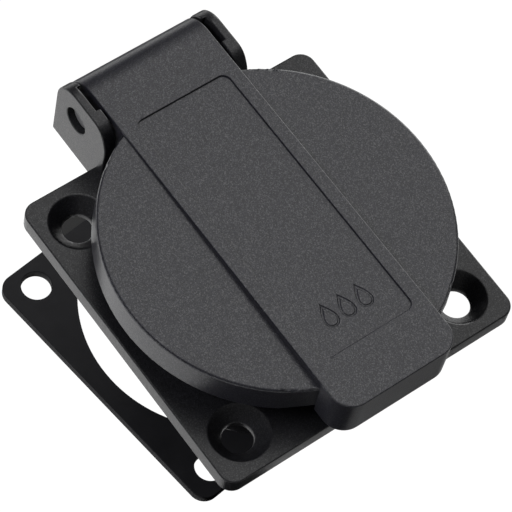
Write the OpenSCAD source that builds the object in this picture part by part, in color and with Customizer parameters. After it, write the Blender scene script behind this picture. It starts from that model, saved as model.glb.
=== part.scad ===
// Panel-mount power socket with a spring-closed splash lid, and its loose flange gasket.
// Origin: centre of the flange's underside. +Z leaves through the lid, +Y points to the hinge.

/* [Flange] */
// Side of the square flange
flange_w = 50; // [47:0.5:54]
// Thickness of the flange
flange_t = 3; // [2.4:0.1:3.6]
// Corner radius of the flange
flange_corner_r = 2.2; // [1:0.1:5]
// Distance between fixing screws, both ways
screw_pitch = 38; // [36:0.5:40]
// Through hole for a fixing screw
screw_hole_d = 4.5; // [4:0.1:5]
// Countersink at the flange's face
countersink_d = 8.6; // [7.6:0.1:9.4]

/* [Plug recess] */
// Diameter of the recess that takes the plug
recess_d = 39.2; // [38.4:0.1:40]
// Depth of the recess below the collar's rim
recess_depth = 17.5; // [16.5:0.1:18.5]
// Gap between the collar and the lid's rim
collar_gap = 1.2; // [0.8:0.05:1.8]
// Wall of the cup behind the flange
cup_wall = 1; // [0.8:0.1:1.4]
// Thickness of the recess floor
floor_t = 3.5; // [3:0.1:4]
// Rounding at the foot of the cup
cup_fillet = 1.5; // [1:0.1:3]
// Distance between the two plug pins
pin_pitch = 19; // [18.6:0.1:19.4]
// Diameter of a plug pin
plug_pin_d = 4.8; // [4:0.1:5]
// Length of a plug pin below the recess floor
plug_pin_l = 19; // [18:0.1:19.5]
// Clearance all round a plug pin in the floor
pin_hole_gap = 0.3; // [0.2:0.05:0.5]
// Width of the two side guide ribs
rib_w = 5; // [4:0.1:6]
// How far a guide rib stands in from the wall
rib_d = 2.1; // [1.5:0.1:2.6]
// How far a guide rib stops below the rim
rib_drop = 3; // [1:0.1:5]

/* [Lid] */
// How far the lid's edge lies inside the flange's sides
lid_inset = 0.1; // [0:0.05:0.5]
// Gap between the flange and the lid's rim
lid_lift = 4.75; // [4.5:0.05:5.6]
// Height of the lid's rim
lid_h = 5; // [4.4:0.05:5.4]
// Thickness of the lid's top
lid_top_t = 1.8; // [1.5:0.1:2]
// Thickness of the lid's rim
lid_rim_t = 1.8; // [1.4:0.1:2]
// Rounding along the lid's top edge
lid_edge_r = 0.3; // [0.1:0.05:0.5]
// Width of the band from hinge to tab
band_w = 20; // [18:0.2:21]
// Height of the tab's front edge above the lid's top
tab_rise = 1.4; // [1:0.05:1.8]
// How far the tab reaches past the lid
tab_reach = 3.25; // [2.5:0.05:4]
// How far the tab's skirt hangs below the lid's rim
tab_drop = 1.2; // [0.4:0.1:2]
// Corner radius of the tab
tab_corner_r = 3.3; // [2:0.1:4]
// Wall of the hollow tab
tab_wall = 1.6; // [1.2:0.1:2]
// Margin of the sunk panel beside the band's edges
panel_margin = 2.2; // [1.6:0.1:3]
// Distance of the sunk panel from the hinge axis
panel_back = 6.85; // [6:0.05:8]
// Distance of the sunk panel from the tab's front
panel_front = 8; // [6:0.1:10]
// Corner radius of the sunk panel
panel_corner_r = 1.2; // [0.6:0.1:2]
// Depth of the sunk panel
panel_depth = 0.3; // [0.2:0.05:0.6]
// Thickness of the lid's rubber seal
seal_t = 1.2; // [1:0.05:1.4]
// Gap between the seal and the collar's rim
seal_gap = 0.15; // [0.1:0.05:0.3]
// How far the seal reaches in over the recess
seal_inset = 0.9; // [0.5:0.1:1.4]
// Gap between the seal and the lid's rim
seal_rim_gap = 0.4; // [0.2:0.1:0.8]
// Wall of the rib that centres the seal
seal_rib_t = 0.9; // [0.7:0.1:1.4]

/* [Hinge] */
// Distance of the hinge axis behind the lid's edge
hinge_setback = 5.2; // [5:0.05:5.6]
// Height of the hinge axis above the flange
hinge_h = 5.4; // [5.3:0.05:5.8]
// Diameter of the lid's barrel
barrel_d = 10; // [9.4:0.1:10.3]
// Diameter of the hinge pin
hinge_pin_d = 4; // [3.4:0.1:4.2]
// Radial clearance of the pin in the lid
pin_seat_gap = 0.02; // [0.01:0.01:0.05]
// Radial clearance of the pin in the ears
pin_run_gap = 0.08; // [0.05:0.01:0.1]
// How far the pin ends inside the ear's face
pin_recess = 1; // [0.6:0.05:1.1]
// Thickness of an ear
ear_t = 2; // [1.8:0.1:2.4]
// Gap between an ear and the barrel
ear_gap = 0.35; // [0.25:0.05:0.5]
// Gap between an ear and the lid's edge as it swings
ear_lid_gap = 0.45; // [0.3:0.05:0.6]
// Height of an ear above the hinge axis
ear_top = 5.1; // [4.4:0.05:5.4]
// Reach of an ear behind the hinge axis
ear_back = 4.8; // [4.4:0.05:5.4]
// Rounding of an ear's front corner
ear_front_corner_r = 2.6; // [1:0.1:3.4]
// Rounding of an ear's back corner
ear_back_r = 4.3; // [1.5:0.1:4.3]
// Width of the lead-in groove inside an ear
groove_w = 4.6; // [4:0.1:6]
// Depth of the lead-in groove at the ear's top
groove_d = 0.7; // [0.5:0.05:1]
// Depth of the lead-in groove at the pin
groove_low_d = 0.2; // [0.1:0.05:0.3]

/* [Lid spring] */
// Wire of the torsion spring
spring_wire_d = 0.7; // [0.5:0.05:0.8]
// Radius of the coil at the middle of the wire
spring_coil_r = 3; // [2.8:0.05:3.1]
// Length of the coil along the pin
spring_l = 7.2; // [6:0.1:7.8]
// Whole turns of the coil
spring_turns = 5; // [3:1:6]
// Length of the spring pocket in the barrel
spring_pocket_l = 9.2; // [9:0.1:10]
// Radius of the spring pocket in the barrel
spring_pocket_r = 4.1; // [3.9:0.05:4.2]
// Gap between a spring leg and its seat
spring_gap = 0.1; // [0.05:0.05:0.2]
// Length of the leg that enters the lid
spring_lid_leg = 4.5; // [4:0.1:5]

/* [Contacts] */
// Radial clearance of a plug pin in its sleeve
sleeve_gap = 0.05; // [0.02:0.01:0.1]
// Wall of a contact sleeve
sleeve_t = 0.5; // [0.4:0.05:0.6]
// Width of the slit in a contact sleeve
sleeve_slit = 0.8; // [0.5:0.1:1.2]
// Distance of a sleeve's foot from the plug pin's tip
sleeve_short = 4; // [3:0.1:6]
// Thickness of the steel clip round a sleeve
clip_t = 0.38; // [0.3:0.02:0.44]
// Height of the steel clip round a sleeve
clip_h = 4; // [3:0.1:5]
// Opening of the steel clip
clip_mouth = 3; // [2:0.1:4]
// Gap between loose fitting inner parts
inner_gap = 0.02; // [0.01:0.01:0.04]
// Thickness of the contact and earth strips
strip_t = 0.8; // [0.6:0.05:1]
// Width of the earth strip
earth_w = 6; // [5:0.1:7]
// Distance of the earth clips from the socket's axis
earth_y = 18.4; // [17.8:0.05:18.8]
// How far an earth clip bows in
earth_bow = 2; // [1.4:0.1:2.6]
// How far an earth clip's tip springs back out of its bow
earth_flare = 1.6; // [1:0.1:1.9]
// Height of an earth clip above the recess floor
earth_h = 12; // [10:0.1:13]

/* [Terminals] */
// Width of a terminal block
terminal_w = 4.6; // [4.2:0.1:5]
// Depth of a terminal block
terminal_d = 5; // [4.4:0.1:5.2]
// Height of a terminal block
terminal_h = 8; // [7:0.1:9]
// Distance of the line and neutral terminals from the middle
terminal_x = 3.5; // [3.3:0.05:3.8]
// Gap between a terminal block and the middle wall behind it
terminal_gap = 0.6; // [0.4:0.05:0.8]
// Hole for the wire
wire_d = 2.6; // [2:0.1:2.8]
// Diameter of a terminal screw's shank
terminal_screw_d = 2.5; // [2:0.1:2.8]
// Length of a terminal screw's shank
terminal_screw_l = 1.6; // [1.2:0.1:2]
// Diameter of a terminal screw's head
terminal_head_d = 3.8; // [3.4:0.1:4]
// Height of a terminal screw's head
terminal_head_h = 1.3; // [1:0.1:1.4]
// Width of a screwdriver slot
slot_w = 0.6; // [0.4:0.05:0.8]
// Depth of a screwdriver slot
slot_d = 0.6; // [0.4:0.05:0.8]

/* [Contact base] */
// Margin of the base's plate round its fixing screws' heads
base_plate_margin = 0.8; // [0.4:0.05:1.2]
// Thickness of the base's plate
base_plate_t = 2.2; // [1.8:0.1:2.6]
// Half length of the base's oblong column
base_half_x = 13.8; // [13.6:0.05:14.2]
// Half width of the base's oblong column
base_half_y = 8; // [7.8:0.05:8.4]
// Wall of the base's column
base_wall = 0.9; // [0.7:0.05:0.95]
// Thickness of the walls between the poles
divider_t = 0.8; // [0.6:0.05:1]
// Half length of the wall behind the line and neutral terminals
divider_half_x = 5.2; // [4.6:0.1:5.8]
// Distance of the base's fixing screws from the axis, both ways
base_screw_at = 10.2; // [10:0.05:10.4]
// Diameter of a fixing screw's shank
small_screw_d = 2.2; // [1.8:0.1:2.4]
// Diameter of a fixing screw's head
small_head_d = 4; // [3.6:0.1:4.2]
// Height of a fixing screw's head
small_head_h = 1.2; // [1:0.1:1.4]
// Length of a fixing screw's shank beyond its seat
small_screw_bite = 2.6; // [2:0.1:2.8]
// Height of the cover that closes the column
cover_h = 3.5; // [3.2:0.1:4]
// How far the cover is set in from the column
cover_inset = 0.9; // [0.6:0.05:1]
// Web of the cover under a plug pin's tip
cover_web = 0.8; // [0.6:0.05:1]
// Clearance between a plug pin's tip and the cover
pin_tip_gap = 0.3; // [0.2:0.05:0.5]
// Distance of the cover's screws from the middle, along X
cover_screw_x = 5.6; // [5.4:0.05:5.8]
// Distance of the cover's screws from the middle, along Y
cover_screw_y = 4.3; // [4.2:0.05:4.5]
// Diameter of a boss that takes a cover screw
cover_boss_d = 3.8; // [3.4:0.1:4]
// Diameter of a wire entry in the cover
wire_entry_d = 3.6; // [3:0.1:3.8]

/* [Flange gasket] */
// Width of the gasket, along the hinge
gasket_w = 47.5; // [46.5:0.5:50]
// Length of the gasket, across the hinge
gasket_l = 45.5; // [44.5:0.5:50]
// Thickness of the gasket
gasket_t = 1.6; // [1:0.1:2.4]
// Corner radius of the gasket
gasket_corner_r = 2.4; // [1:0.1:5]
// Clearance between the gasket and the cup, all round
gasket_gap = 0.15; // [0.1:0.05:0.6]
// Screw hole in the gasket
gasket_hole_d = 4.6; // [4.2:0.1:5]
// Where the loose gasket lies, along X
gasket_x = 1.8; // [0:0.1:4]
// Where the loose gasket lies, along Y
gasket_y = 8.9; // [6:0.1:10]
// Angle at which the loose gasket lies
gasket_turn = 7; // [0:0.1:12]

/* [Hidden] */
$fn = 96;
over = 1;

// Levels, from the flange's underside
lid_bottom_z = flange_t + lid_lift;
lid_top_z = lid_bottom_z + lid_h;
lid_under_z = lid_top_z - lid_top_t;
collar_top_z = lid_under_z - seal_t - seal_gap;
recess_floor_z = collar_top_z - recess_depth;
floor_under_z = recess_floor_z - floor_t;
plate_under_z = floor_under_z - base_plate_t;
pin_tip_z = recess_floor_z - plug_pin_l;
foot_z = pin_tip_z - pin_tip_gap - cover_web;
column_foot_z = foot_z + cover_h;

// Radii
recess_r = recess_d / 2;
cup_r = recess_r + cup_wall;
lid_r = flange_w / 2 - lid_inset;
lid_rim_in_r = lid_r - lid_rim_t;
collar_r = lid_rim_in_r - collar_gap;
barrel_r = barrel_d / 2;
hinge_pin_r = hinge_pin_d / 2;
ear_hole_r = hinge_pin_r + pin_run_gap;
seal_in_r = recess_r - seal_inset;
seal_out_r = lid_rim_in_r - seal_rim_gap;
sleeve_bore_r = plug_pin_d / 2 + sleeve_gap;
sleeve_out_r = sleeve_bore_r + sleeve_t;

// Hinge
hinge_y = lid_r + hinge_setback;
hinge_z = flange_t + hinge_h;
ear_in_x = band_w / 2 + ear_gap;
ear_out_x = ear_in_x + ear_t;
ear_front_r = hinge_y - sqrt(lid_r * lid_r - ear_in_x * ear_in_x) - ear_lid_gap;
ear_top_z = hinge_z + ear_top;
pin_half_l = ear_out_x - pin_recess;

// Band and tab
tab_y = -lid_r - tab_reach;
tab_top_z = lid_top_z + tab_rise;
tab_foot_z = lid_bottom_z - tab_drop;
barrel_top_z = hinge_z + barrel_r;
band_slope = atan2(tab_top_z - barrel_top_z, hinge_y - tab_y);
panel_w = band_w - 2 * panel_margin;
panel_l = hinge_y - panel_back - tab_y - panel_front;

// Spring
spring_wire_r = spring_wire_d / 2;
spring_steps = 16;
spring_leg_y = hinge_y - spring_coil_r;
spring_seat_y = spring_leg_y - spring_wire_r - spring_gap;
spring_start = 180;
spring_end = -135;
spring_sweep = spring_end - spring_start - 360 * spring_turns;
spring_notch_w = spring_wire_d + 8 * spring_gap;

// Contacts and terminals
sleeve_x = pin_pitch / 2;
sleeve_foot_z = pin_tip_z + sleeve_short;
strip_z = plate_under_z - 2 * strip_t;
terminal_top_z = strip_z;
terminal_back_y = -divider_t / 2 - terminal_gap;
wire_y = terminal_back_y - terminal_d / 2 + 0.1 * wire_d;
terminal_screw_z = terminal_top_z - 0.6 * terminal_h;
earth_front_y = divider_t / 2 + terminal_gap;
cavity_half_y = base_half_y - base_wall;
base_plate_r = sqrt(2) * base_screw_at + small_head_d / 2 + base_plate_margin;

// A rectangle with round corners, centred
module rounded_rectangle(w, l, r) {
    square([w, l - 2 * r], center = true);
    square([w - 2 * r, l], center = true);
    for (sx = [-1, 1], sy = [-1, 1])
        translate([sx * (w / 2 - r), sy * (l / 2 - r)]) circle(r);
}

// An oblong with round ends, centred
module oblong(half_x, half_y) {
    square([2 * (half_x - half_y), 2 * half_y], center = true);
    for (s = [-1, 1])
        translate([s * (half_x - half_y), 0]) circle(half_y);
}

// Places its children at the four corners of a square
module at_corners(offset) {
    for (sx = [-1, 1], sy = [-1, 1])
        translate([sx * offset, sy * offset, 0]) children();
}

// Draws a (y, z) outline as a slab from x0 to x1
module slab(x0, x1) {
    translate([x0, 0, 0])
        rotate([90, 0, 90]) linear_extrude(x1 - x0) children();
}

// A pan-head screw along -Z: its seat is at z = 0 and its shank goes up
module pan_screw(shank_d, shank_l, head_d, head_h) {
    difference() {
        union() {
            cylinder(d = shank_d, h = shank_l);
            translate([0, 0, -head_h]) cylinder(d = head_d, h = head_h);
        }
        translate([-head_d, -slot_w / 2, -head_h - over])
            cube([2 * head_d, slot_w, over + slot_d]);
    }
}

// Side view of an ear: round at the front about the hinge axis, upright at the back
module ear_outline() {
    back_y = hinge_y + ear_back;
    corner_z = ear_top - ear_front_corner_r;
    corner_y = sqrt(pow(ear_front_r - ear_front_corner_r, 2) - corner_z * corner_z);
    translate([hinge_y, hinge_z]) {
        intersection() {
            circle(ear_front_r);
            polygon([[0, 0], [-2 * ear_front_r, 2 * ear_front_r * corner_z / corner_y], [-2 * ear_front_r, 0]]);
        }
        translate([-corner_y, 0]) square([corner_y, ear_top]);
        translate([-corner_y, corner_z]) circle(ear_front_corner_r);
    }
    translate([hinge_y - ear_front_r, 0]) square([ear_front_r, hinge_z]);
    translate([hinge_y, 0]) square([ear_back - ear_back_r, ear_top_z]);
    translate([hinge_y, 0]) square([ear_back, ear_top_z - ear_back_r]);
    translate([back_y - ear_back_r, ear_top_z - ear_back_r]) circle(ear_back_r);
}

// One ear, with its pin hole and the lead-in groove that the pin's end snaps down
module ear() {
    groove_foot_z = hinge_z + ear_hole_r / 2;
    difference() {
        slab(ear_in_x, ear_out_x) ear_outline();
        translate([ear_in_x - over, hinge_y, hinge_z])
            rotate([0, 90, 0]) cylinder(r = ear_hole_r, h = ear_t + 2 * over);
        translate([0, hinge_y + groove_w / 2, 0]) rotate([90, 0, 0]) linear_extrude(groove_w)
            polygon([[ear_in_x - over, groove_foot_z], [ear_in_x + groove_low_d, groove_foot_z],
                [ear_in_x + groove_d, ear_top_z], [ear_in_x + groove_d, ear_top_z + over],
                [ear_in_x - over, ear_top_z + over]]);
    }
}

// The cup behind the flange, with a rounded foot
module cup_body() {
    cup_h = -floor_under_z;
    translate([0, 0, floor_under_z]) rotate_extrude() {
        square([cup_r - cup_fillet, cup_h]);
        translate([0, cup_fillet]) square([cup_r, cup_h - cup_fillet]);
        translate([cup_r - cup_fillet, cup_fillet]) circle(cup_fillet);
    }
}

// Flange, collar, recess cup and hinge ears: one black moulding
module flange_housing() {
    pin_hole_r = plug_pin_d / 2 + pin_hole_gap;
    clip_slot_in = earth_y - earth_bow - strip_t - pin_hole_gap;
    clip_slot_w = earth_w + 2 * pin_hole_gap;
    sink_h = (countersink_d - screw_hole_d) / 2;
    color("#3a3a3c") {
        difference() {
            union() {
                linear_extrude(flange_t) rounded_rectangle(flange_w, flange_w, flange_corner_r);
                cylinder(r = collar_r, h = collar_top_z);
                cup_body();
                for (m = [0, 1]) mirror([m, 0, 0]) ear();
                translate([-ear_in_x - over, 0, 0]) cube([2 * (ear_in_x + over), spring_seat_y, flange_t]);
            }
            translate([0, 0, recess_floor_z])
                cylinder(r = recess_r, h = recess_depth + over);
            at_corners(screw_pitch / 2) {
                translate([0, 0, -over]) cylinder(d = screw_hole_d, h = flange_t + 2 * over);
                translate([0, 0, flange_t - sink_h])
                    cylinder(d1 = screw_hole_d, d2 = countersink_d, h = sink_h);
            }
            for (s = [-1, 1]) {
                translate([s * sleeve_x, 0, floor_under_z - over])
                    cylinder(r = pin_hole_r, h = floor_t + 2 * over);
                translate([-clip_slot_w / 2, s > 0 ? clip_slot_in : -earth_y - pin_hole_gap, floor_under_z - over])
                    cube([clip_slot_w, earth_y + pin_hole_gap - clip_slot_in, floor_t + 2 * over]);
            }
            at_corners(base_screw_at) translate([0, 0, floor_under_z - over])
                cylinder(d = small_screw_d + 2 * inner_gap, h = over + small_screw_bite + inner_gap);
            translate([-spring_l / 2 - spring_notch_w / 2, spring_seat_y, -over])
                cube([spring_notch_w, flange_w, flange_t + 2 * over]);
        }
        intersection() {
            for (m = [0, 1]) mirror([m, 0, 0])
                translate([recess_r - rib_d, -rib_w / 2, recess_floor_z])
                    cube([rib_d + cup_wall / 2, rib_w, recess_depth - rib_drop]);
            translate([0, 0, recess_floor_z])
                cylinder(r = recess_r + cup_wall / 2, h = recess_depth);
        }
    }
}

// Round dish of the lid, with the rib that centres the seal
module lid_dish() {
    rotate_extrude() {
        translate([0, lid_under_z]) square([lid_r - lid_edge_r, lid_top_t]);
        translate([lid_rim_in_r, lid_bottom_z]) square([lid_rim_t, lid_h - lid_edge_r]);
        translate([lid_r - lid_edge_r, lid_top_z - lid_edge_r]) circle(lid_edge_r);
        translate([seal_in_r - inner_gap - seal_rib_t, lid_under_z - seal_t])
            square([seal_rib_t, seal_t + lid_top_t / 2]);
    }
}

// Side view of the band: it climbs from the barrel to the tab, with the neck and the tab's skirt below it
module band_outline() {
    polygon([[hinge_y, barrel_top_z], [tab_y, tab_top_z], [tab_y, tab_foot_z], [0, tab_foot_z],
        [0, lid_bottom_z], [hinge_y, lid_bottom_z]]);
}

// Plan of the band, with the tab's round front corners
module band_plan() {
    half_w = band_w / 2;
    translate([-half_w, tab_y + tab_corner_r])
        square([band_w, hinge_y - tab_y - tab_corner_r]);
    translate([-half_w + tab_corner_r, tab_y]) square([band_w - 2 * tab_corner_r, 2 * tab_corner_r]);
    for (s = [-1, 1])
        translate([s * (half_w - tab_corner_r), tab_y + tab_corner_r]) circle(tab_corner_r);
}

// Band from the hinge to the tab: solid over the lid's top, a hollow shell outside the rim at the tab
module lid_band() {
    difference() {
        intersection() {
            slab(-band_w / 2, band_w / 2) band_outline();
            linear_extrude(tab_top_z + over) band_plan();
        }
        translate([0, 0, lid_bottom_z - over])
            cylinder(r = lid_rim_in_r, h = lid_under_z - lid_bottom_z + over);
        translate([0, 0, tab_foot_z - over]) cylinder(r = lid_r, h = tab_drop + over);
        translate([-band_w / 2 + tab_wall, tab_y + tab_wall, tab_foot_z - over])
            cube([band_w - 2 * tab_wall, -tab_y - tab_wall, lid_under_z - tab_foot_z + over]);
    }
}

// Sunk panel in the band's top, parallel to the band
module band_panel() {
    translate([0, hinge_y, barrel_top_z]) rotate([-band_slope, 0, 0])
        translate([0, -panel_back - panel_l / 2, -panel_depth])
            linear_extrude(panel_depth + over) {
                square([panel_w, panel_l - 2 * panel_corner_r], center = true);
                square([panel_w - 2 * panel_corner_r, panel_l], center = true);
                for (sx = [-1, 1], sy = [-1, 1])
                    translate([sx * (panel_w / 2 - panel_corner_r), sy * (panel_l / 2 - panel_corner_r)])
                        circle(panel_corner_r);
            }
}

// Round lid, its band, its finger tab and its hinge barrel: one black moulding
module lid() {
    open_under = 1;
    leg_hole_r = spring_wire_r + spring_gap;
    color("#48484a") difference() {
        union() {
            lid_dish();
            lid_band();
            translate([-band_w / 2, hinge_y, hinge_z])
                rotate([0, 90, 0]) cylinder(r = barrel_r, h = band_w);
        }
        band_panel();
        translate([-band_w / 2 - over, hinge_y, hinge_z])
            rotate([0, 90, 0]) cylinder(r = hinge_pin_r + pin_seat_gap, h = band_w + 2 * over);
        translate([-spring_pocket_l / 2, hinge_y, hinge_z])
            rotate([0, 90, 0]) cylinder(r = spring_pocket_r, h = spring_pocket_l);
        translate([-spring_pocket_l / 2, hinge_y - barrel_r - over, hinge_z - open_under - barrel_r])
            cube([spring_pocket_l, 2 * (barrel_r + over), barrel_r]);
        translate([spring_l / 2, hinge_y, hinge_z])
            rotate([spring_end, 0, 0]) translate([0, spring_coil_r, -spring_lid_leg - spring_gap])
                cylinder(r = leg_hole_r, h = spring_lid_leg);
    }
}

// Flat rubber ring under the lid, which closes on the collar's rim
module lid_seal() {
    color("#1c1c1e") translate([0, 0, lid_under_z - seal_t]) difference() {
        cylinder(r = seal_out_r, h = seal_t);
        translate([0, 0, -over]) cylinder(r = seal_in_r, h = seal_t + 2 * over);
    }
}

// Pin through the barrel and the spring, whose ends turn in the ears
module hinge_pin() {
    color("#6e6e70") translate([-pin_half_l, hinge_y, hinge_z])
        rotate([0, 90, 0]) cylinder(r = hinge_pin_r, h = 2 * pin_half_l);
}

// Unit vector along v
function unit(v) = v / norm(v);

// Point of the spring's coil at step i of n
function coil_point(i, n) =
    let (a = spring_start + spring_sweep * i / n)
    [-spring_l / 2 + spring_l * i / n,
        hinge_y + spring_coil_r * cos(a),
        hinge_z + spring_coil_r * sin(a)];

// Direction in which the wire leaves the coil at its lid end
function lid_leg_way() = [0, sin(spring_end), -cos(spring_end)];

// Round wire of diameter d with 8 sides along a path that never runs along X
module swept_wire(path, d) {
    sides = 8;
    n = len(path);
    points = [for (i = [0 : n - 1])
        let (t = unit(path[min(i + 1, n - 1)] - path[max(i - 1, 0)]))
        let (across = unit(cross(t, [1, 0, 0])), up = cross(across, t))
        for (k = [0 : sides - 1])
            path[i] + d / 2 * (cos(360 * k / sides) * across + sin(360 * k / sides) * up)];
    walls = [for (i = [0 : n - 2], k = [0 : sides - 1])
        let (a = i * sides + k, b = i * sides + (k + 1) % sides)
        [a, b, b + sides, a + sides]];
    ends = [[for (k = [sides - 1 : -1 : 0]) k],
        [for (k = [0 : sides - 1]) (n - 1) * sides + k]];
    polyhedron(points, concat(walls, ends));
}

// Torsion spring on the pin: one leg bears on the flange, the other enters the lid
module lid_spring() {
    n = spring_steps * (spring_turns + 1);
    coil = [for (i = [0 : n]) coil_point(i, n)];
    foot = [coil[0][0], coil[0][1], flange_t / 4];
    tip = coil[n] + spring_lid_leg * lid_leg_way();
    color("silver") swept_wire(concat([foot], coil, [tip]), spring_wire_d);
}

// Rubber gasket for the flange, lying loose on the table round the socket's foot
module flange_gasket() {
    color("#202022") translate([gasket_x, gasket_y, foot_z]) rotate(gasket_turn) difference() {
        linear_extrude(gasket_t) rounded_rectangle(gasket_w, gasket_l, gasket_corner_r);
        translate([0, 0, -over]) cylinder(r = cup_r + gasket_gap, h = gasket_t + 2 * over);
        at_corners(screw_pitch / 2) translate([0, 0, -over])
            cylinder(d = gasket_hole_d, h = gasket_t + 2 * over);
    }
}

// Plate and oblong column behind the cup, which hold the contacts and terminals
module contact_base() {
    column_h = plate_under_z - column_foot_z;
    cavity_half_x = base_half_x - base_wall;
    access_d = terminal_head_d + 4 * pin_hole_gap;
    color("#2c2c2e") {
        difference() {
            union() {
                translate([0, 0, plate_under_z]) cylinder(r = base_plate_r, h = base_plate_t);
                translate([0, 0, column_foot_z]) linear_extrude(column_h + base_plate_t / 2)
                    oblong(base_half_x, base_half_y);
            }
            translate([0, 0, column_foot_z - over]) linear_extrude(column_h + over)
                oblong(cavity_half_x, cavity_half_y);
            for (s = [-1, 1]) {
                translate([s * sleeve_x, 0, plate_under_z - over])
                    cylinder(r = sleeve_out_r + 2 * inner_gap, h = base_plate_t + 2 * over);
                translate([s * terminal_x, 0, terminal_screw_z])
                    rotate([90, 0, 0]) cylinder(d = access_d, h = base_half_y + over);
            }
            translate([0, 0, terminal_screw_z])
                rotate([-90, 0, 0]) cylinder(d = access_d, h = base_half_y + over);
            translate([-earth_w / 2 - inner_gap, -2 * base_plate_r, floor_under_z - strip_t - inner_gap])
                cube([earth_w + 2 * inner_gap, 4 * base_plate_r, strip_t + over]);
            translate([-earth_w / 2 - inner_gap, earth_front_y - inner_gap, plate_under_z - over])
                cube([earth_w + 2 * inner_gap, strip_t + 2 * inner_gap, base_plate_t + 2 * over]);
            at_corners(base_screw_at) translate([0, 0, plate_under_z - over])
                cylinder(d = small_screw_d + 2 * inner_gap, h = base_plate_t + 2 * over);
        }
        for (s = [-1, 1]) difference() {
            translate([s * cover_screw_x, cover_screw_y, column_foot_z])
                cylinder(d = cover_boss_d, h = column_h + base_plate_t / 4);
            translate([s * cover_screw_x, cover_screw_y, column_foot_z - over])
                cylinder(d = small_screw_d + 2 * inner_gap, h = over + small_screw_bite + inner_gap);
        }
        translate([-divider_half_x, -divider_t / 2, column_foot_z])
            cube([2 * divider_half_x, divider_t, column_h + base_plate_t / 4]);
        translate([-divider_t / 2, -cavity_half_y - base_wall / 2, column_foot_z])
            cube([divider_t, cavity_half_y + base_wall / 2, column_h + base_plate_t / 4]);
    }
}

// Slit sleeve for one plug pin, with the strip that leads to its terminal
module pin_contact(side) {
    sleeve_top_z = floor_under_z - inner_gap;
    strip_l = sleeve_x - sleeve_bore_r - terminal_x + terminal_w / 2;
    color("#b58f4a") mirror([side < 0 ? 1 : 0, 0, 0]) difference() {
        union() {
            translate([sleeve_x, 0, sleeve_foot_z]) cylinder(r = sleeve_out_r, h = sleeve_top_z - sleeve_foot_z);
            translate([terminal_x - terminal_w / 2, terminal_back_y - terminal_d / 2, strip_z])
                cube([strip_l, terminal_d / 2, strip_t]);
        }
        translate([sleeve_x, 0, sleeve_foot_z - over])
            cylinder(r = sleeve_bore_r, h = sleeve_top_z - sleeve_foot_z + 2 * over);
        translate([sleeve_x - sleeve_slit / 2, 0, sleeve_foot_z - over])
            cube([sleeve_slit, sleeve_out_r + over, strip_z - sleeve_foot_z + over]);
    }
}

// Steel clip that keeps a slit sleeve tight on the plug pin
module sleeve_clip(side) {
    clip_z = (strip_z + sleeve_foot_z - clip_h) / 2;
    color("gainsboro") translate([side * sleeve_x, 0, clip_z]) difference() {
        cylinder(r = sleeve_out_r + inner_gap + clip_t, h = clip_h);
        translate([0, 0, -over]) cylinder(r = sleeve_out_r + inner_gap, h = clip_h + 2 * over);
        translate([-clip_mouth / 2, 0, -over])
            cube([clip_mouth, 2 * sleeve_out_r, clip_h + 2 * over]);
    }
}

// Side view of half the earth bracket: a strip under the floor and a bowed clip in the recess
module earth_outline() {
    low_z = floor_under_z - strip_t;
    bend_z = recess_floor_z + earth_h / 8;
    bow_z = recess_floor_z + earth_h * 0.6;
    tip_z = recess_floor_z + earth_h;
    bow_y = earth_y - earth_bow;
    tip_y = bow_y + earth_flare;
    polygon([[-over, low_z], [earth_y, low_z], [earth_y, bend_z], [bow_y, bow_z], [tip_y, tip_z],
        [tip_y - strip_t, tip_z], [bow_y - strip_t, bow_z], [earth_y - strip_t, bend_z],
        [earth_y - strip_t, floor_under_z], [-over, floor_under_z]]);
}

// Bent strip with the two earth clips and the tail that drops to the earth terminal
module earth_bracket() {
    color("#c9c4b8") {
        for (m = [0, 1]) mirror([0, m, 0])
            slab(-earth_w / 2, earth_w / 2) earth_outline();
        translate([-earth_w / 2, earth_front_y, terminal_top_z])
            cube([earth_w, strip_t, floor_under_z - terminal_top_z]);
    }
}

// Brass block with a wire hole from below and a screw hole from the front; the middle of its
// back face's top edge is at [x, back_y]
module terminal_block(x, back_y) {
    color("#b8964f") difference() {
        translate([x - terminal_w / 2, back_y - terminal_d, terminal_top_z - terminal_h])
            cube([terminal_w, terminal_d, terminal_h]);
        translate([x, wire_y - terminal_back_y + back_y, terminal_top_z - terminal_h - over])
            cylinder(d = wire_d, h = over + 0.75 * terminal_h);
        translate([x, back_y - terminal_d / 2, terminal_screw_z]) rotate([90, 0, 0])
            cylinder(d = terminal_screw_d + 2 * inner_gap, h = terminal_d);
    }
}

// Screw that clamps the wire, entering a terminal block's front face
module terminal_screw(x, back_y) {
    color("silver") translate([x, back_y - terminal_d - inner_gap, terminal_screw_z])
        rotate([-90, 0, 0])
            pan_screw(terminal_screw_d, terminal_screw_l, terminal_head_d, terminal_head_h);
}

// Half turn about the socket's axis, from the front terminals to the earth terminal at the back
module at_back() {
    rotate(180) children();
}

// Four screws that hold the base under the recess floor
module base_screws() {
    color("silver") at_corners(base_screw_at) translate([0, 0, plate_under_z])
        pan_screw(small_screw_d, base_plate_t + small_screw_bite, small_head_d, small_head_h);
}

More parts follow.
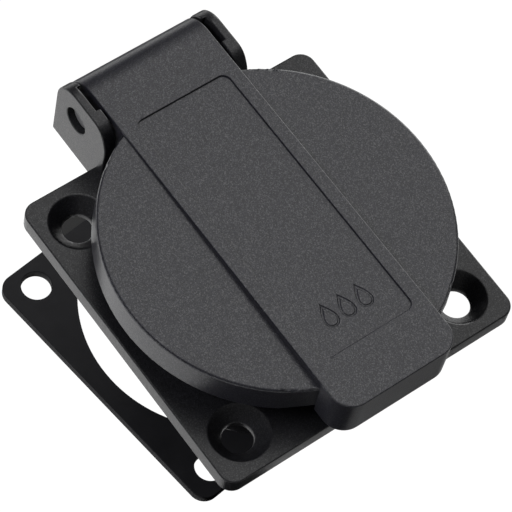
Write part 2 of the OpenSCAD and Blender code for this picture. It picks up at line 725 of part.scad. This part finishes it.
// Cover over the column's foot, with wire entries and wells for the plug pins' tips
module terminal_cover() {
    head_gap = 0.1;
    color("#2c2c2e") difference() {
        translate([0, 0, foot_z]) linear_extrude(cover_h)
            oblong(base_half_x - cover_inset, base_half_y - cover_inset);
        for (s = [-1, 1]) {
            translate([s * sleeve_x, 0, pin_tip_z - pin_tip_gap])
                cylinder(r = plug_pin_d / 2 + pin_hole_gap, h = cover_h);
            translate([s * terminal_x, wire_y, foot_z - over])
                cylinder(d = wire_entry_d, h = cover_h + 2 * over);
            translate([s * cover_screw_x, cover_screw_y, foot_z - over]) {
                cylinder(d = small_screw_d + 2 * inner_gap, h = cover_h + 2 * over);
                cylinder(d = small_head_d + 2 * head_gap, h = over + small_head_h + head_gap);
            }
        }
        translate([0, -wire_y, foot_z - over])
            cylinder(d = wire_entry_d, h = cover_h + 2 * over);
    }
}

// Two screws that hold the cover, sunk in it
module cover_screws() {
    head_gap = 0.1;
    shank_l = cover_h - small_head_h - head_gap + small_screw_bite;
    color("silver") for (s = [-1, 1])
        translate([s * cover_screw_x, cover_screw_y, foot_z + small_head_h + head_gap])
            pan_screw(small_screw_d, shank_l, small_head_d, small_head_h);
}

flange_housing();
lid();
lid_seal();
hinge_pin();
lid_spring();
flange_gasket();
contact_base();
pin_contact(1);  // line_contact
pin_contact(-1);  // neutral_contact
sleeve_clip(1);  // line_contact_clip
sleeve_clip(-1);  // neutral_contact_clip
earth_bracket();
terminal_block(terminal_x, terminal_back_y);  // line_terminal
terminal_block(-terminal_x, terminal_back_y);  // neutral_terminal
at_back() terminal_block(0, terminal_back_y);  // earth_terminal
terminal_screw(terminal_x, terminal_back_y);  // line_terminal_screw
terminal_screw(-terminal_x, terminal_back_y);  // neutral_terminal_screw
at_back() terminal_screw(0, terminal_back_y);  // earth_terminal_screw
base_screws();
terminal_cover();
cover_screws();
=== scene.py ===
import math

import bmesh
import bpy
from mathutils import Matrix, Quaternion, Vector


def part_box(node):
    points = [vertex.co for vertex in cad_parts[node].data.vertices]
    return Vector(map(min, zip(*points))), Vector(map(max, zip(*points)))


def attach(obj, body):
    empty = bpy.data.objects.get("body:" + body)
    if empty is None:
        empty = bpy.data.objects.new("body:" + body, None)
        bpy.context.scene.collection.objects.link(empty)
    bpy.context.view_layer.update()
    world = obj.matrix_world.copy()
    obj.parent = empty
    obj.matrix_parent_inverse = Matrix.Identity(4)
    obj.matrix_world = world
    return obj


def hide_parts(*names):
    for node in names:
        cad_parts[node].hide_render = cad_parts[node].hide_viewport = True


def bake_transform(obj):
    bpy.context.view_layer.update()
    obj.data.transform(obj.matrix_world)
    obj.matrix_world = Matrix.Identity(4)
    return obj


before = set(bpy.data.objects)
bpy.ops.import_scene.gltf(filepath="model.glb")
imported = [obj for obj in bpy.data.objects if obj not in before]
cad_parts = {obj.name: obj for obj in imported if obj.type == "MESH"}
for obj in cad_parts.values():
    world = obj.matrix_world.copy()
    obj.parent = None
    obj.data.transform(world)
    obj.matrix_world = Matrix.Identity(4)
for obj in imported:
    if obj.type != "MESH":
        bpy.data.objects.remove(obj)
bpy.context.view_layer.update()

# Light table
# A white acrylic table in a white light tent, as small black parts are photographed on. The socket's sides
# pick up the table and its top picks up the tent, and the table keeps the socket's shadow.
MM = 0.001


def linear(hex_colour):
    """sRGB hex such as "#303030" as linear RGBA."""
    channels = [int(hex_colour[i:i + 2], 16) / 255 for i in (1, 3, 5)]
    return [c / 12.92 if c <= 0.04045 else ((c + 0.055) / 1.055) ** 2.4 for c in channels] + [1.0]


def add_node(tree, kind, settings=None, links=None):
    """Adds one shader node. settings are its properties and input values, links are sockets for its inputs.

    An input goes by its name, or by its number where names repeat, as they do on Math and Mix.
    """
    node = tree.nodes.new(kind)
    for name, value in (settings or {}).items():
        if isinstance(name, str) and hasattr(node, name):
            setattr(node, name, value)
        else:
            node.inputs[name].default_value = value
    for name, socket in (links or {}).items():
        tree.links.new(socket, node.inputs[name])
    return node


def new_material(name):
    """An empty node material and its node tree."""
    material = bpy.data.materials.new(name)
    material.use_nodes = True
    material.node_tree.nodes.clear()
    return material, material.node_tree


table_half = 3.0
table_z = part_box("terminal_cover")[0].z
bpy.ops.object.select_all(action="DESELECT")
bpy.ops.mesh.primitive_plane_add(size=2 * table_half, location=(0, 0, table_z))
table = bpy.context.object
table.name = "table"

# White acrylic sheet: to the camera a plain white with a faint shadow, and a matt white in glossy edges
table_white = linear("#f4f4f4")
table_glow = 1.08
table_seen_share = 0.95
table_mirrored_share = 0.04
white_acrylic, tree = new_material("white acrylic table")
path = add_node(tree, "ShaderNodeLightPath")
seen = add_node(tree, "ShaderNodeMath", {"operation": "MAXIMUM"},
                {0: path.outputs["Is Camera Ray"], 1: path.outputs["Is Transmission Ray"]})
seen_part = add_node(tree, "ShaderNodeMath", {"operation": "MULTIPLY", 1: table_seen_share},
                     {0: seen.outputs[0]})
share = add_node(tree, "ShaderNodeMath", {"operation": "MULTIPLY_ADD", 1: table_mirrored_share},
                 {0: path.outputs["Is Glossy Ray"], 2: seen_part.outputs[0]})
glow = add_node(tree, "ShaderNodeEmission", {"Color": (1, 1, 1, 1), "Strength": table_glow})
sheet = add_node(tree, "ShaderNodeBsdfDiffuse", {"Color": table_white})
mix = add_node(tree, "ShaderNodeMixShader",
               links={0: share.outputs[0], 1: sheet.outputs[0], 2: glow.outputs[0]})
add_node(tree, "ShaderNodeOutputMaterial", links={"Surface": mix.outputs[0]})
table.data.materials.append(white_acrylic)

# White nylon tent: plain white to the camera, an even weak light on the socket, and in glossy edges darker
# at its foot than at its top
tent_level = 0.1
tent_foot = 0.04
tent_top = 0.3
tent_foot_height = 0.25
tent_top_height = 0.85
world = bpy.data.worlds.new("light tent")
bpy.context.scene.world = world
world.use_nodes = True
tree = world.node_tree
tree.nodes.clear()
path = add_node(tree, "ShaderNodeLightPath")
direction = add_node(tree, "ShaderNodeTexCoord")
height = add_node(tree, "ShaderNodeSeparateXYZ", links={"Vector": direction.outputs["Generated"]})
mirrored = add_node(tree, "ShaderNodeMapRange",
                    {"From Min": tent_foot_height, "From Max": tent_top_height,
                     "To Min": tent_foot, "To Max": tent_top},
                    {"Value": height.outputs["Z"]})
seen = add_node(tree, "ShaderNodeMath", {"operation": "MAXIMUM"},
                {0: path.outputs["Is Camera Ray"], 1: path.outputs["Is Transmission Ray"]})
unseen = add_node(tree, "ShaderNodeMix", {"data_type": "FLOAT", 2: tent_level},
                  {0: path.outputs["Is Glossy Ray"], 3: mirrored.outputs[0]})
strength = add_node(tree, "ShaderNodeMix", {"data_type": "FLOAT", 3: 1.0},
                    {0: seen.outputs[0], 2: unseen.outputs[0]})
nylon = add_node(tree, "ShaderNodeBackground", {"Color": (1, 1, 1, 1)}, {"Strength": strength.outputs[0]})
add_node(tree, "ShaderNodeOutputWorld", links={"Surface": nylon.outputs[0]})

# Softboxes: a broad one overhead, which the tops mirror, a low one on the right that lines the right edges,
# and a small one on the left that brightens the table there and is flagged off the glossy edges. A row gives
# the side in metres, azimuth and elevation in degrees, brightness, and whether the edges mirror it.
softbox_distance = 0.6
softboxes = [
    ("broad softbox", 0.65, 50, 75, 1.0, True),
    ("right softbox", 0.5, 30, 14, 3.0, True),
    ("left softbox", 0.25, 155, 40, 19.0, False),
]
for name, side, azimuth, elevation, brightness, in_edges in softboxes:
    light = bpy.data.lights.new(name, "AREA")
    light.size = side
    light.energy = brightness * side * side * math.pi
    lamp = bpy.data.objects.new(name, light)
    lamp.visible_glossy = in_edges
    bpy.context.scene.collection.objects.link(lamp)
    turn = math.radians(azimuth)
    rise = math.radians(elevation)
    outward = Vector((math.cos(rise) * math.cos(turn), math.cos(rise) * math.sin(turn), math.sin(rise)))
    lamp.location = softbox_distance * outward
    lamp.rotation_euler = outward.to_track_quat("Z", "Y").to_euler()

# Matt cards on the table: black and grey ones, hidden from the camera, which the front and back edges
# mirror.
# The pads and the cards under and in front of the socket are painted shade, dark where the socket's shadow
# falls on the table. A grey card at the gasket's edge, seen through the back left screw hole, is painted
# shade for the shaded table under the flange. A row gives the middle and the sides in millimetres, the
# colour, and whether the camera sees it.
card_lift = 0.2
card_step = 0.1
cards = [
    # painted shade: these stand in for the socket's shadow on the table, as the edges mirror it
    ("front_shade_pad", (3, 4), (33, 32), "#0c0c0c", False),
    ("back_shade_pad", (3, 28), (33, 16), "#303030", False),
    ("front_shade_card", (-36, -59), (56, 70), "#303030", False),
    ("side_shade_card", (26, -62), (68, 60), "#8c8c8c", False),
    ("corner_shade_card", (-18, -20), (20, 8), "#0c0c0c", False),
    ("back_card", (30, 77), (70, 54), "#0c0c0c", False),
    # painted shade: a grey card seen through the back left screw hole, standing in for the shaded table
    # there
    ("hole_shade_card", (-8.5, 31.6), (5.2, 3.2), "#323232", True),
]
for layer, (name, middle, sides, colour, seen_by_camera) in enumerate(cards):
    card_z = table_z + (card_lift + card_step * layer) * MM
    bpy.ops.object.select_all(action="DESELECT")
    bpy.ops.mesh.primitive_plane_add(size=1, location=(middle[0] * MM, middle[1] * MM, card_z))
    card = bpy.context.object
    card.name = name
    card.scale = (sides[0] * MM, sides[1] * MM, 1)
    card.visible_camera = seen_by_camera
    matt_card, tree = new_material("matt card")
    paper = add_node(tree, "ShaderNodeBsdfDiffuse", {"Color": linear(colour)})
    add_node(tree, "ShaderNodeOutputMaterial", links={"Surface": paper.outputs[0]})
    card.data.materials.append(matt_card)

# Camera
# A long lens a good way off, so that the flange's sides stay nearly parallel. It looks down past the tab's
# left corner, and is rolled as the photograph is framed.
camera_at = Vector((-151.6, -124.3, 354.8)) * MM
camera_aim = Vector((-1.246, 1.373, 3.0)) * MM
camera_roll = math.radians(15.67)
camera_sensor = 36.0
camera_lens = 203.88
camera_data = bpy.data.cameras.new("camera")
camera_data.sensor_width = camera_sensor
camera_data.lens = camera_lens
camera = bpy.data.objects.new("camera", camera_data)
bpy.context.scene.collection.objects.link(camera)
level = (camera_aim - camera_at).to_track_quat("-Z", "Y")
camera.rotation_mode = "QUATERNION"
camera.rotation_quaternion = level @ Quaternion((0, 0, 1), camera_roll)
camera.location = camera_at
bpy.context.scene.camera = camera
bpy.context.scene.view_settings.view_transform = "Standard"


# Flange housing
# One injection moulding in black polyamide: flange, collar, cup and ears. The mould was spark eroded, so
# the faces carry a fine pitted grain, and every outer corner has the small radius that a mould leaves.
def moulded_plastic(name, dark, pale, shine, grain_mm, roughness, ior=1.5):
    """Black plastic with the grain of its mould: pits from dark to pale, each with its own shine.

    The power keeps most pits near the lower shine, so that only a few of them sparkle. The mean lies a fifth
    of the way up the range of shine, at about 0.5, the shader's own level.
    """
    spark_power = 4.0
    swell_mm = 1.5 * grain_mm
    swell_depth_mm = 0.04
    swell_strength = 0.5
    material, tree = new_material(name)
    place = add_node(tree, "ShaderNodeTexCoord")
    pits = add_node(tree, "ShaderNodeTexVoronoi", {"Scale": 1 / (grain_mm * MM)},
                    {"Vector": place.outputs["Object"]})
    chance = add_node(tree, "ShaderNodeSeparateColor", links={"Color": pits.outputs["Color"]})
    tone = add_node(tree, "ShaderNodeMix", {"data_type": "RGBA", 6: linear(dark), 7: linear(pale)},
                    {0: chance.outputs["Red"]})
    spark = add_node(tree, "ShaderNodeMath", {"operation": "POWER", 1: spark_power},
                     {0: chance.outputs["Green"]})
    sheen = add_node(tree, "ShaderNodeMapRange", {"To Min": shine[0], "To Max": shine[1]},
                     {"Value": spark.outputs[0]})
    swell = add_node(tree, "ShaderNodeTexNoise", {"Scale": 1 / (swell_mm * MM), "Detail": 2.0},
                     {"Vector": place.outputs["Object"]})
    bump = add_node(tree, "ShaderNodeBump", {"Strength": swell_strength, "Distance": swell_depth_mm * MM},
                    {"Height": swell.outputs["Fac"]})
    plastic = add_node(tree, "ShaderNodeBsdfPrincipled", {"Roughness": roughness, "IOR": ior},
                       {"Base Color": tone.outputs[2], "Specular IOR Level": sheen.outputs[0],
                        "Normal": bump.outputs["Normal"]})
    add_node(tree, "ShaderNodeOutputMaterial", links={"Surface": plastic.outputs[0]})
    return material


def pick(piece):
    """Makes piece the only selected object, and the active one."""
    bpy.ops.object.select_all(action="DESELECT")
    piece.select_set(True)
    bpy.context.view_layer.objects.active = piece


def smooth(piece):
    """Smooth shading on rounds, flat on large faces."""
    crease_angle = math.radians(50)
    pick(piece)
    bpy.ops.object.shade_smooth_by_angle(angle=crease_angle)
    even = piece.modifiers.new("even shading", "WEIGHTED_NORMAL")
    even.keep_sharp = True
    bpy.ops.object.modifier_apply(modifier=even.name)


def merged_copy(node_name, flat_angle=None):
    """A copy of a CAD node, its loose triangles merged, and made one face where they meet within flat_angle.

    It is in millimetres, far from the operators' own tolerances, and is set back to metres when it is done.
    """
    merge_mm = 0.002
    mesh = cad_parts[node_name].data.copy()
    mesh.transform(Matrix.Scale(1 / MM, 4))
    piece = bpy.data.objects.new(node_name + "_finished", mesh)
    bpy.context.scene.collection.objects.link(piece)
    pick(piece)
    bpy.ops.object.mode_set(mode="EDIT")
    bpy.ops.mesh.select_all(action="SELECT")
    bpy.ops.mesh.customdata_custom_splitnormals_clear()
    bpy.ops.mesh.remove_doubles(threshold=merge_mm)
    if flat_angle:
        bpy.ops.mesh.dissolve_limited(angle_limit=flat_angle)
    bpy.ops.object.mode_set(mode="OBJECT")
    return piece


def finished(node_name, body, material, edge_mm, fine_mm=None, fine_box=None):
    """A CAD node with its outer corners rounded to edge_mm, or to fine_mm for edges inside fine_box."""
    flat_angle = math.radians(0.3)
    corner_angle = math.radians(40)
    piece = merged_copy(node_name, flat_angle)
    mesh = piece.data
    weights = mesh.attributes.new("bevel_weight_edge", "FLOAT", "EDGE")
    shape = bmesh.new()
    shape.from_mesh(mesh)
    for edge in shape.edges:
        if len(edge.link_faces) == 2 and edge.calc_face_angle_signed() > corner_angle:
            middle = (edge.verts[0].co + edge.verts[1].co) / 2
            fine = fine_box and all(fine_box[0][k] < middle[k] < fine_box[1][k] for k in range(3))
            weights.data[edge.index].value = fine_mm / edge_mm if fine else 1.0
    shape.free()
    bevel = piece.modifiers.new("mould radius", "BEVEL")
    bevel.limit_method = "WEIGHT"
    bevel.width = edge_mm
    bevel.segments = 3
    bevel.use_clamp_overlap = False
    bpy.ops.object.modifier_apply(modifier=bevel.name)
    mesh.transform(Matrix.Scale(MM, 4))
    mesh.materials.clear()
    mesh.materials.append(material)
    smooth(piece)
    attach(piece, body)
    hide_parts(node_name)
    return piece


# Polyamide from an eroded mould: a soft dark sheen with pale specks. The real pits are about 0.05 mm across,
# too fine to show, so they are drawn at about one pixel of the render.
housing_plastic = moulded_plastic("moulded black polyamide", "#0a0a0b", "#1a1a1d", shine=(0.42, 0.84),
                                  grain_mm=0.12, roughness=0.28, ior=1.48)
finished("flange_housing", "housing", housing_plastic, edge_mm=0.25)

# Contact base and terminal cover
# Plain black mouldings in phenolic. The base is screwed up under the cup and carries the contacts, and the
# cover is screwed to the base and closes over the terminals.

# Phenolic from a smooth mould: dull and even, with few specks, which are drawn coarser than they are
base_plastic = moulded_plastic("moulded black phenolic", "#101011", "#18181a", shine=(0.46, 0.68),
                               grain_mm=0.3, roughness=0.6, ior=1.4)
for node_name in ("contact_base", "terminal_cover"):
    finished(node_name, "housing", base_plastic, edge_mm=0.2)


# Contacts and terminals
# Sleeves rolled from brass sheet, with strips that run down to terminal blocks cut from drawn brass bar.
# Both are pushed into the base, and left bare.
def drawn_metal(name, colour, grain_mm, roughness):
    """Bare or plated metal with fine drawing marks that run up the piece."""
    mark_stretch = 0.1
    mark_depth_mm = 0.01
    mark_strength = 0.15
    rough_spread = 0.08
    material, tree = new_material(name)
    place = add_node(tree, "ShaderNodeTexCoord")
    along = add_node(tree, "ShaderNodeMapping", {"Scale": (1, 1, mark_stretch)},
                     {"Vector": place.outputs["Object"]})
    marks = add_node(tree, "ShaderNodeTexNoise", {"Scale": 1 / (grain_mm * MM), "Detail": 3.0},
                     {"Vector": along.outputs["Vector"]})
    rough = add_node(tree, "ShaderNodeMapRange",
                     {"To Min": roughness - rough_spread, "To Max": roughness + rough_spread},
                     {"Value": marks.outputs["Fac"]})
    bump = add_node(tree, "ShaderNodeBump", {"Strength": mark_strength, "Distance": mark_depth_mm * MM},
                    {"Height": marks.outputs["Fac"]})
    metal = add_node(tree, "ShaderNodeBsdfPrincipled", {"Base Color": linear(colour), "Metallic": 1.0},
                     {"Roughness": rough.outputs[0], "Normal": bump.outputs["Normal"]})
    add_node(tree, "ShaderNodeOutputMaterial", links={"Surface": metal.outputs[0]})
    return material


# Drawn brass: warm yellow, with a sheen that is broken into streaks. Real drawing marks are a few hundredths
# of a millimetre apart, too fine to show, so they are drawn coarser here and on the metals that follow.
contact_brass = drawn_metal("drawn brass", "#c9a45c", grain_mm=0.3, roughness=0.32)
for node_name in ("line_contact", "neutral_contact"):
    finished(node_name, "housing", contact_brass, edge_mm=0.08)
for node_name in ("line_terminal", "neutral_terminal", "earth_terminal"):
    finished(node_name, "housing", contact_brass, edge_mm=0.2)

# Earth bracket
# Brass strip bent into two bowed clips that stand in the recess, and nickel plated. It is held between the
# recess floor and the base.

# Nickel plating: a bright grey with a little of the brass's warmth
plated_brass = drawn_metal("nickel-plated brass", "#c4c0b8", grain_mm=0.3, roughness=0.28)
finished("earth_bracket", "housing", plated_brass, edge_mm=0.08)

# Sleeve clips
# Open rings bent from spring steel strip. They are pushed over the slit contact sleeves, and keep them tight
# on the plug's pins.

# Oiled spring steel: the darkest of the metals, with a dull sheen
spring_steel = drawn_metal("oiled spring steel", "#8c8c90", grain_mm=0.2, roughness=0.35)
for node_name in ("line_contact_clip", "neutral_contact_clip"):
    finished(node_name, "housing", spring_steel, edge_mm=0.06)

# Screws
# Steel screws with turned heads and a sawn slot, zinc plated. They clamp the wires in the terminals, and
# hold the base under the cup and the cover on the base.

# Zinc plating: a pale, slightly blue grey
plated_steel = drawn_metal("zinc-plated steel", "#b4b6ba", grain_mm=0.25, roughness=0.33)
for node_name in ("line_terminal_screw", "neutral_terminal_screw", "earth_terminal_screw", "base_screws",
                  "cover_screws"):
    finished(node_name, "housing", plated_steel, edge_mm=0.15)

# Lid
# One moulding in the same black polyamide as the housing: round dish, band, tab and barrel. Three plain
# drops are sunk in the panel, tips to the hinge, as a splash mark.

# Polyamide from a deeper grained mould: greyer on its tops than the housing, with more sparkle, and drawn at
# the same one pixel
lid_plastic = moulded_plastic("moulded black polyamide lid", "#0c0c0f", "#1e1e25", shine=(0.4, 0.9),
                              grain_mm=0.12, roughness=0.3, ior=1.6)

# The panel's left edge is sharper than the lid's other edges
panel_left_box = ((-8.2, -21.5, 12.9), (-6.9, 24.5, 14.4))
lid = finished("lid", "lid", lid_plastic, edge_mm=0.2, fine_mm=0.04, fine_box=panel_left_box)

# Each drop is a line between two circles that are drawn out to a tip. Their first radii only tell the outer
# one from the inner one. The width factor brings the curve's widest place to the drop's width, and the line
# is longer at the tip, where its two sides meet.
outer_r = 2
inner_r = 1
drop_w = 2.3
drop_h = 4.0
drop_line = 0.4
drop_tip_line = 2.6 * drop_line
drop_width_factor = 0.69
drop_tip_power = 1.3
drop_sides = 48
drop_count = 3
drop_step = 2.9
drop_y = -14.85
drop_foot_z = 13.53
drop_cut_h = 1.0
first_drop_at = Vector((-drop_step, drop_y, drop_foot_z))
bpy.ops.object.select_all(action="DESELECT")
bpy.ops.mesh.primitive_circle_add(vertices=drop_sides, radius=outer_r)
drops = bpy.context.object
bpy.ops.object.mode_set(mode="EDIT")
bpy.ops.mesh.primitive_circle_add(vertices=drop_sides, radius=inner_r)
bpy.ops.object.mode_set(mode="OBJECT")
for corner in drops.data.vertices:
    inner = corner.co.length < (outer_r + inner_r) / 2
    wide = drop_w - 2 * drop_line if inner else drop_w
    high = drop_h - drop_line - drop_tip_line if inner else drop_h
    foot = drop_line if inner else 0
    turn = math.atan2(corner.co.x, corner.co.y) % math.tau
    corner.co.x = drop_width_factor * wide * math.sin(turn) * math.sin(turn / 2) ** drop_tip_power
    corner.co.y = foot - drop_h / 2 + high / 2 * (1 + math.cos(turn))
drops.data.transform(Matrix.Translation(first_drop_at))
bpy.ops.object.mode_set(mode="EDIT")
bpy.ops.mesh.select_all(action="SELECT")
bpy.ops.mesh.bridge_edge_loops()
bpy.ops.mesh.select_all(action="SELECT")
bpy.ops.mesh.extrude_region_move(TRANSFORM_OT_translate={"value": (0, 0, drop_cut_h)})
bpy.ops.mesh.select_all(action="SELECT")
bpy.ops.mesh.normals_make_consistent(inside=False)
for _ in range(drop_count - 1):
    bpy.ops.mesh.duplicate_move(TRANSFORM_OT_translate={"value": (drop_step, 0, 0)})
bpy.ops.object.mode_set(mode="OBJECT")
drops.data.transform(Matrix.Scale(MM, 4))
pick(lid)
sink = lid.modifiers.new("sunk drops", "BOOLEAN")
sink.object = drops
sink.operation = "DIFFERENCE"
sink.solver = "MANIFOLD"
bpy.ops.object.modifier_apply(modifier=sink.name)
pick(drops)
bpy.ops.object.delete()

# The dish leaves the mould with draft on its rim and a softer top edge, which both fade out towards the
# band, and its top falls from the hinge to the tab, away from the level band
dish_r = 24.9
dish_limit_r = 25
dish_rim_r = 24.3
dish_foot_z = 8.3
dish_top = 12.75
dish_top_range = (12.2, 12.9)
dish_growth = 0.06
dish_draft = 0.18
dish_edge_growth = 0.6
dish_rise = 0.165
dish_slope = 0.0112
band_side_x = 9.9
fade_x = 12.5
fade_w = 2
for corner in lid.data.vertices:
    at = corner.co / MM
    radius = at.xy.length
    on_rim = radius > dish_rim_r
    on_dish = abs(at.x) > band_side_x and radius < dish_limit_r
    on_top = on_dish and dish_top_range[0] < at.z < dish_top_range[1]
    clear = min(max((abs(at.x) - fade_x) / fade_w, 0), 1)
    if on_rim and at.z < dish_foot_z:
        at.xy *= 1 + clear * (dish_growth + dish_draft) / radius
    if on_rim and on_top:
        at.xy *= 1 + clear * (dish_growth - dish_edge_growth * (dish_r - radius)) / radius
        at.z -= clear * dish_edge_growth * (dish_top - at.z)
    if on_top:
        at.z += dish_rise + dish_slope * at.y
    corner.co = at * MM
smooth(lid)


# Lid seal
# Flat ring moulded in nitrile rubber. It is pushed round the rib under the lid, and lies over the collar's
# rim when the lid is shut.
def matt_rubber(name, dark, pale, roughness):
    """Matt black rubber, a little cloudy in tone, with a fine grain."""
    cloud_mm = 2.5
    grain_mm = 0.3
    grain_depth_mm = 0.03
    grain_strength = 0.2
    rubber_ior = 1.3
    material, tree = new_material(name)
    place = add_node(tree, "ShaderNodeTexCoord")
    cloud = add_node(tree, "ShaderNodeTexNoise", {"Scale": 1 / (cloud_mm * MM), "Detail": 4.0},
                     {"Vector": place.outputs["Object"]})
    tone = add_node(tree, "ShaderNodeMix", {"data_type": "RGBA", 6: linear(dark), 7: linear(pale)},
                    {0: cloud.outputs["Fac"]})
    grain = add_node(tree, "ShaderNodeTexNoise", {"Scale": 1 / (grain_mm * MM), "Detail": 2.0},
                     {"Vector": place.outputs["Object"]})
    bump = add_node(tree, "ShaderNodeBump", {"Strength": grain_strength, "Distance": grain_depth_mm * MM},
                    {"Height": grain.outputs["Fac"]})
    rubber = add_node(tree, "ShaderNodeBsdfPrincipled", {"Roughness": roughness, "IOR": rubber_ior},
                      {"Base Color": tone.outputs[2], "Normal": bump.outputs["Normal"]})
    add_node(tree, "ShaderNodeOutputMaterial", links={"Surface": rubber.outputs[0]})
    return material


# Moulded nitrile: nearly black, with no clear highlight. The real grain is well under 0.1 mm, too fine to
# show, and is drawn at 0.3 mm.
seal_rubber = matt_rubber("nitrile rubber", "#0c0c0d", "#161617", roughness=0.65)
finished("lid_seal", "lid", seal_rubber, edge_mm=0.1)

# Hinge pin
# Plain rod moulded in acetal, and fixed in the lid's barrel. It turns in the ears, with its ends set back in
# their holes.

# Acetal: a paler grey than the housing, waxy and even, with a grain drawn coarser than it is
pin_plastic = moulded_plastic("moulded acetal", "#4a4a4c", "#525254", shine=(0.46, 0.68),
                              grain_mm=0.3, roughness=0.4)
finished("hinge_pin", "lid", pin_plastic, edge_mm=0.25)

# Lid spring
# Torsion spring coiled from round spring steel wire about the pin. One leg lies on the flange, the other is
# held in the lid, so the real coil twists between them as the lid opens. Here it stays where it is modelled
# and doesn't follow the lid.
spring_crease = math.radians(60)
spring = merged_copy("lid_spring")
bpy.ops.object.shade_smooth_by_angle(angle=spring_crease)
spring.data.transform(Matrix.Scale(MM, 4))
spring.data.materials.clear()
spring.data.materials.append(spring_steel)
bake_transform(spring)
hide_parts("lid_spring")

# Flange gasket
# Nearly square piece cut from rubber sheet, with a large punched hole and four screw holes. It lies loose on
# the table under the socket, until it goes between flange and panel.

# Sheet rubber: a little paler and smoother than the moulded seal
gasket_rubber = matt_rubber("sheet rubber", "#101012", "#1a1a1c", roughness=0.6)
finished("flange_gasket", "housing", gasket_rubber, edge_mm=0.15)
